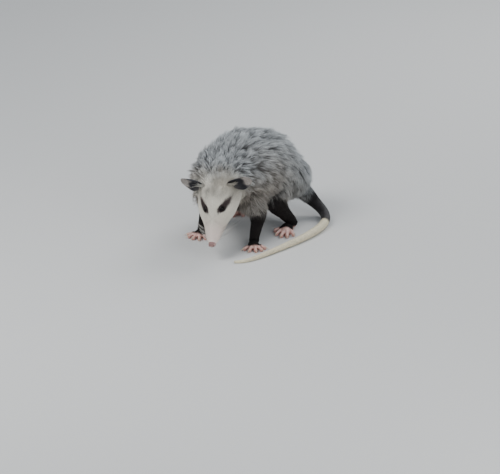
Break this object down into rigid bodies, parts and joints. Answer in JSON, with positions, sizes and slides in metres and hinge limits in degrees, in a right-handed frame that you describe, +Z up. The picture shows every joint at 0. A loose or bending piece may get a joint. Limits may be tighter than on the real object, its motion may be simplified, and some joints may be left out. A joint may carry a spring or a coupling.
{
  "type": "virginia opossum",
  "caption": "Life-size still model of a crouching Virginia opossum with shaggy grey coat, lowered pale face, dark ears, clawed feet and a long bare tail laid on the floor",
  "frame": {"origin": "middle of the footprint, at floor level", "axes": "+Z up; the animal faces -Y and its left side is +X"},
  "size_m": [0.2538, 0.354, 0.1962],
  "materials": {
    "coat": "long shaggy fur, pale tips over dark underfur",
    "face_fur": "short cream fur",
    "dark_fur": "short black-brown fur",
    "ear_skin": "thin bare skin",
    "pink_skin": "bare skin",
    "tail_skin": "scaly bare skin",
    "eye": "wet black"
  },
  "bodies": {
    "root": {"head": "face_fur", "lower_jaw": "face_fur", "nose": "pink_skin", "eye_left": "eye", "eye_right": "eye", "ear_left": "ear_skin", "ear_right": "ear_skin", "neck": "coat", "torso": "coat", "upper_foreleg_left": "dark_fur", "upper_foreleg_right": "dark_fur", "forearm_left": "dark_fur", "forearm_right": "dark_fur", "forefoot_left": "pink_skin", "forefoot_right": "pink_skin", "thigh_left": "dark_fur", "thigh_right": "dark_fur", "shank_left": "dark_fur", "shank_right": "dark_fur", "hindfoot_left": "pink_skin", "hindfoot_right": "pink_skin", "tail_root": "dark_fur", "tail_front": "tail_skin", "tail_middle": "tail_skin", "tail_tip": "tail_skin"}
  },
  "joints": []
}
